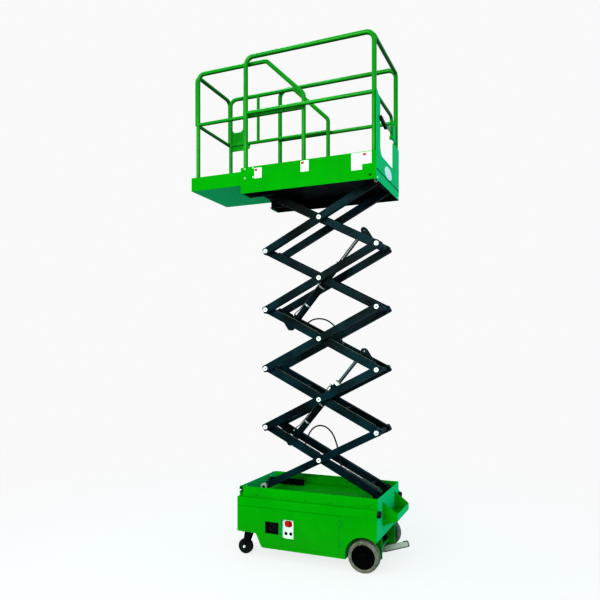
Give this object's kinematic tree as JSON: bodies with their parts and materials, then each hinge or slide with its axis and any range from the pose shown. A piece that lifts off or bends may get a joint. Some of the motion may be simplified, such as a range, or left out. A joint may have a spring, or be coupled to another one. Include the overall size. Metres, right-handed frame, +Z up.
{
  "type": "scissor lift",
  "caption": "Compact self-propelled scissor lift, raised part way, with a railed platform and a roll-out deck.",
  "frame": {"origin": "on the floor, under the middle of the overall length and width", "axes": "+X forwards towards the casters and the roll-out deck, +Y to the left side, +Z up"},
  "size_m": [1.895, 0.76, 4.2137],
  "materials": {
    "black_hub": "matte black paint",
    "black_paint": "satin black paint",
    "black_plastic": "moulded",
    "chrome_rod": "polished",
    "green_paint": "gloss green paint",
    "grey_rubber": "non-marking grey rubber",
    "red_plastic": "red button",
    "white_plate": "plain white",
    "zinc_steel": "bright zinc"
  },
  "bodies": {
    "chassis": {"chassis": "green_paint", "caster_plates": "black_paint", "drive_motors": "black_paint", "low_tracks": "black_paint", "rear_step": "green_paint", "rear_buffers": "black_plastic", "foot_bar": "zinc_steel", "battery_block": "black_paint"},
    "left_door": {"left_door": "green_paint", "control_box": "green_paint", "control_plate": "white_plate", "stop_button": "red_plastic", "control_keys": "black_plastic", "socket_box": "black_plastic"},
    "right_door": {"right_door": "green_paint"},
    "left_wheel": {"left_tyre": "grey_rubber", "left_hub": "black_hub"},
    "right_wheel": {"right_tyre": "grey_rubber", "right_hub": "black_hub"},
    "left_swivel": {"left_caster_fork": "black_paint"},
    "right_swivel": {"right_caster_fork": "black_paint"},
    "left_caster": {"left_caster_wheel": "black_plastic"},
    "right_caster": {"right_caster_wheel": "black_plastic"},
    "inner_1": {"inner_frame_1": "black_paint"},
    "outer_1": {"outer_frame_1": "black_paint", "low_rollers": "zinc_steel"},
    "inner_2": {"inner_frame_2": "black_paint"},
    "outer_2": {"outer_frame_2": "black_paint"},
    "inner_3": {"inner_frame_3": "black_paint"},
    "outer_3": {"outer_frame_3": "black_paint"},
    "inner_4": {"inner_frame_4": "black_paint"},
    "outer_4": {"outer_frame_4": "black_paint"},
    "inner_5": {"inner_frame_5": "black_paint", "high_rollers": "zinc_steel"},
    "outer_5": {"outer_frame_5": "black_paint"},
    "barrel_1": {"lift_barrel_1": "black_paint"},
    "rod_1": {"lift_rod_1": "chrome_rod"},
    "barrel_2": {"lift_barrel_2": "black_paint"},
    "rod_2": {"lift_rod_2": "chrome_rod"},
    "platform": {"deck": "green_paint", "guard_rails": "green_paint", "gate_brackets": "green_paint", "gate_latch": "black_plastic", "high_tracks": "black_paint"},
    "gate": {"gate": "green_paint"},
    "roll_out": {"roll_out_deck": "green_paint", "roll_out_rails": "green_paint"}
  },
  "joints": [
    {"name": "lift", "type": "hinge", "parent": "chassis", "child": "inner_1", "pos_m": [-0.7039, 0, 0.56], "axis": [0, -1, 0], "range_deg": [-23, 12.8]},
    {"name": "cross_1", "type": "hinge", "parent": "inner_1", "child": "outer_1", "pos_m": [-0.2125, 0, 0.81255], "axis": [0, -1, 0], "range_deg": [-25.65, 46.05]},
    {"name": "front_joint_1", "type": "hinge", "parent": "inner_1", "child": "outer_2", "pos_m": [0.2789, 0, 1.06509], "axis": [0, -1, 0], "range_deg": [-25.65, 46.05]},
    {"name": "cross_2", "type": "hinge", "parent": "outer_2", "child": "inner_2", "pos_m": [-0.2125, 0, 1.31764], "axis": [0, -1, 0], "range_deg": [-46.05, 25.65]},
    {"name": "rear_joint_2", "type": "hinge", "parent": "outer_2", "child": "inner_3", "pos_m": [-0.7039, 0, 1.57019], "axis": [0, -1, 0], "range_deg": [-46.05, 25.65]},
    {"name": "cross_3", "type": "hinge", "parent": "inner_3", "child": "outer_3", "pos_m": [-0.2125, 0, 1.82273], "axis": [0, -1, 0], "range_deg": [-25.65, 46.05]},
    {"name": "front_joint_3", "type": "hinge", "parent": "inner_3", "child": "outer_4", "pos_m": [0.2789, 0, 2.07528], "axis": [0, -1, 0], "range_deg": [-25.65, 46.05]},
    {"name": "cross_4", "type": "hinge", "parent": "outer_4", "child": "inner_4", "pos_m": [-0.2125, 0, 2.32783], "axis": [0, -1, 0], "range_deg": [-46.05, 25.65]},
    {"name": "rear_joint_4", "type": "hinge", "parent": "outer_4", "child": "inner_5", "pos_m": [-0.7039, 0, 2.58037], "axis": [0, -1, 0], "range_deg": [-46.05, 25.65]},
    {"name": "cross_5", "type": "hinge", "parent": "inner_5", "child": "outer_5", "pos_m": [-0.2125, 0, 2.83292], "axis": [0, -1, 0], "range_deg": [-25.65, 46.05]},
    {"name": "platform_level", "type": "hinge", "parent": "outer_5", "child": "platform", "pos_m": [-0.7039, 0, 3.08547], "axis": [0, -1, 0], "range_deg": [-23.05, 12.85]},
    {"name": "barrel_swing_1", "type": "hinge", "parent": "inner_1", "child": "barrel_1", "pos_m": [0.12269, 0, 0.9151], "axis": [0, 1, 0], "range_deg": [-54.64, 30.43]},
    {"name": "rod_slide_1", "type": "slide", "parent": "barrel_1", "child": "rod_1", "axis": [-0.6399, 0, 0.7685], "range_m": [-0.3197, 0.1781]},
    {"name": "barrel_swing_2", "type": "hinge", "parent": "inner_3", "child": "barrel_2", "pos_m": [0.12269, 0, 1.92529], "axis": [0, 1, 0], "range_deg": [-54.64, 30.43]},
    {"name": "rod_slide_2", "type": "slide", "parent": "barrel_2", "child": "rod_2", "axis": [-0.6399, 0, 0.7685], "range_m": [-0.3197, 0.1781]},
    {"name": "roll_out", "type": "slide", "parent": "platform", "child": "roll_out", "axis": [1, 0, 0], "range_m": [-0.5, 0]},
    {"name": "gate_swing", "type": "hinge", "parent": "platform", "child": "gate", "pos_m": [-0.7302, -0.2017, 3.53577], "axis": [0, 0, -1], "range_deg": [0, 85]},
    {"name": "left_door_swing", "type": "hinge", "parent": "chassis", "child": "left_door", "pos_m": [-0.4585, 0.3752, 0.18], "axis": [0, 0, 1], "range_deg": [0, 100]},
    {"name": "right_door_swing", "type": "hinge", "parent": "chassis", "child": "right_door", "pos_m": [-0.4585, -0.3752, 0.18], "axis": [0, 0, -1], "range_deg": [0, 100]},
    {"name": "left_wheel_spin", "type": "hinge", "parent": "chassis", "child": "left_wheel", "pos_m": [-0.6495, 0.34, 0.125], "axis": [0, 1, 0], "continuous": true},
    {"name": "left_swivel_turn", "type": "hinge", "parent": "chassis", "child": "left_swivel", "pos_m": [0.3755, 0.3, 0.206], "axis": [0, 0, 1], "continuous": true},
    {"name": "left_caster_spin", "type": "hinge", "parent": "left_swivel", "child": "left_caster", "pos_m": [0.4095, 0.3, 0.0625], "axis": [0, 1, 0], "continuous": true},
    {"name": "right_wheel_spin", "type": "hinge", "parent": "chassis", "child": "right_wheel", "pos_m": [-0.6495, -0.34, 0.125], "axis": [0, 1, 0], "continuous": true},
    {"name": "right_swivel_turn", "type": "hinge", "parent": "chassis", "child": "right_swivel", "pos_m": [0.3755, -0.3, 0.206], "axis": [0, 0, 1], "continuous": true},
    {"name": "right_caster_spin", "type": "hinge", "parent": "right_swivel", "child": "right_caster", "pos_m": [0.4095, -0.3, 0.0625], "axis": [0, 1, 0], "continuous": true}
  ],
  "couplings": [
    {"joint": "cross_1", "follows": "lift", "ratio": -2},
    {"joint": "front_joint_1", "follows": "lift", "ratio": -2},
    {"joint": "cross_2", "follows": "lift", "ratio": 2},
    {"joint": "rear_joint_2", "follows": "lift", "ratio": 2},
    {"joint": "cross_3", "follows": "lift", "ratio": -2},
    {"joint": "front_joint_3", "follows": "lift", "ratio": -2},
    {"joint": "cross_4", "follows": "lift", "ratio": 2},
    {"joint": "rear_joint_4", "follows": "lift", "ratio": 2},
    {"joint": "cross_5", "follows": "lift", "ratio": -2},
    {"joint": "platform_level", "follows": "lift", "ratio": 1},
    {"joint": "barrel_swing_1", "follows": "lift", "ratio": 2.3735},
    {"joint": "rod_slide_1", "follows": "lift", "m_per_rad": 0.79512},
    {"joint": "barrel_swing_2", "follows": "lift", "ratio": 2.3735},
    {"joint": "rod_slide_2", "follows": "lift", "m_per_rad": 0.79512}
  ]
}
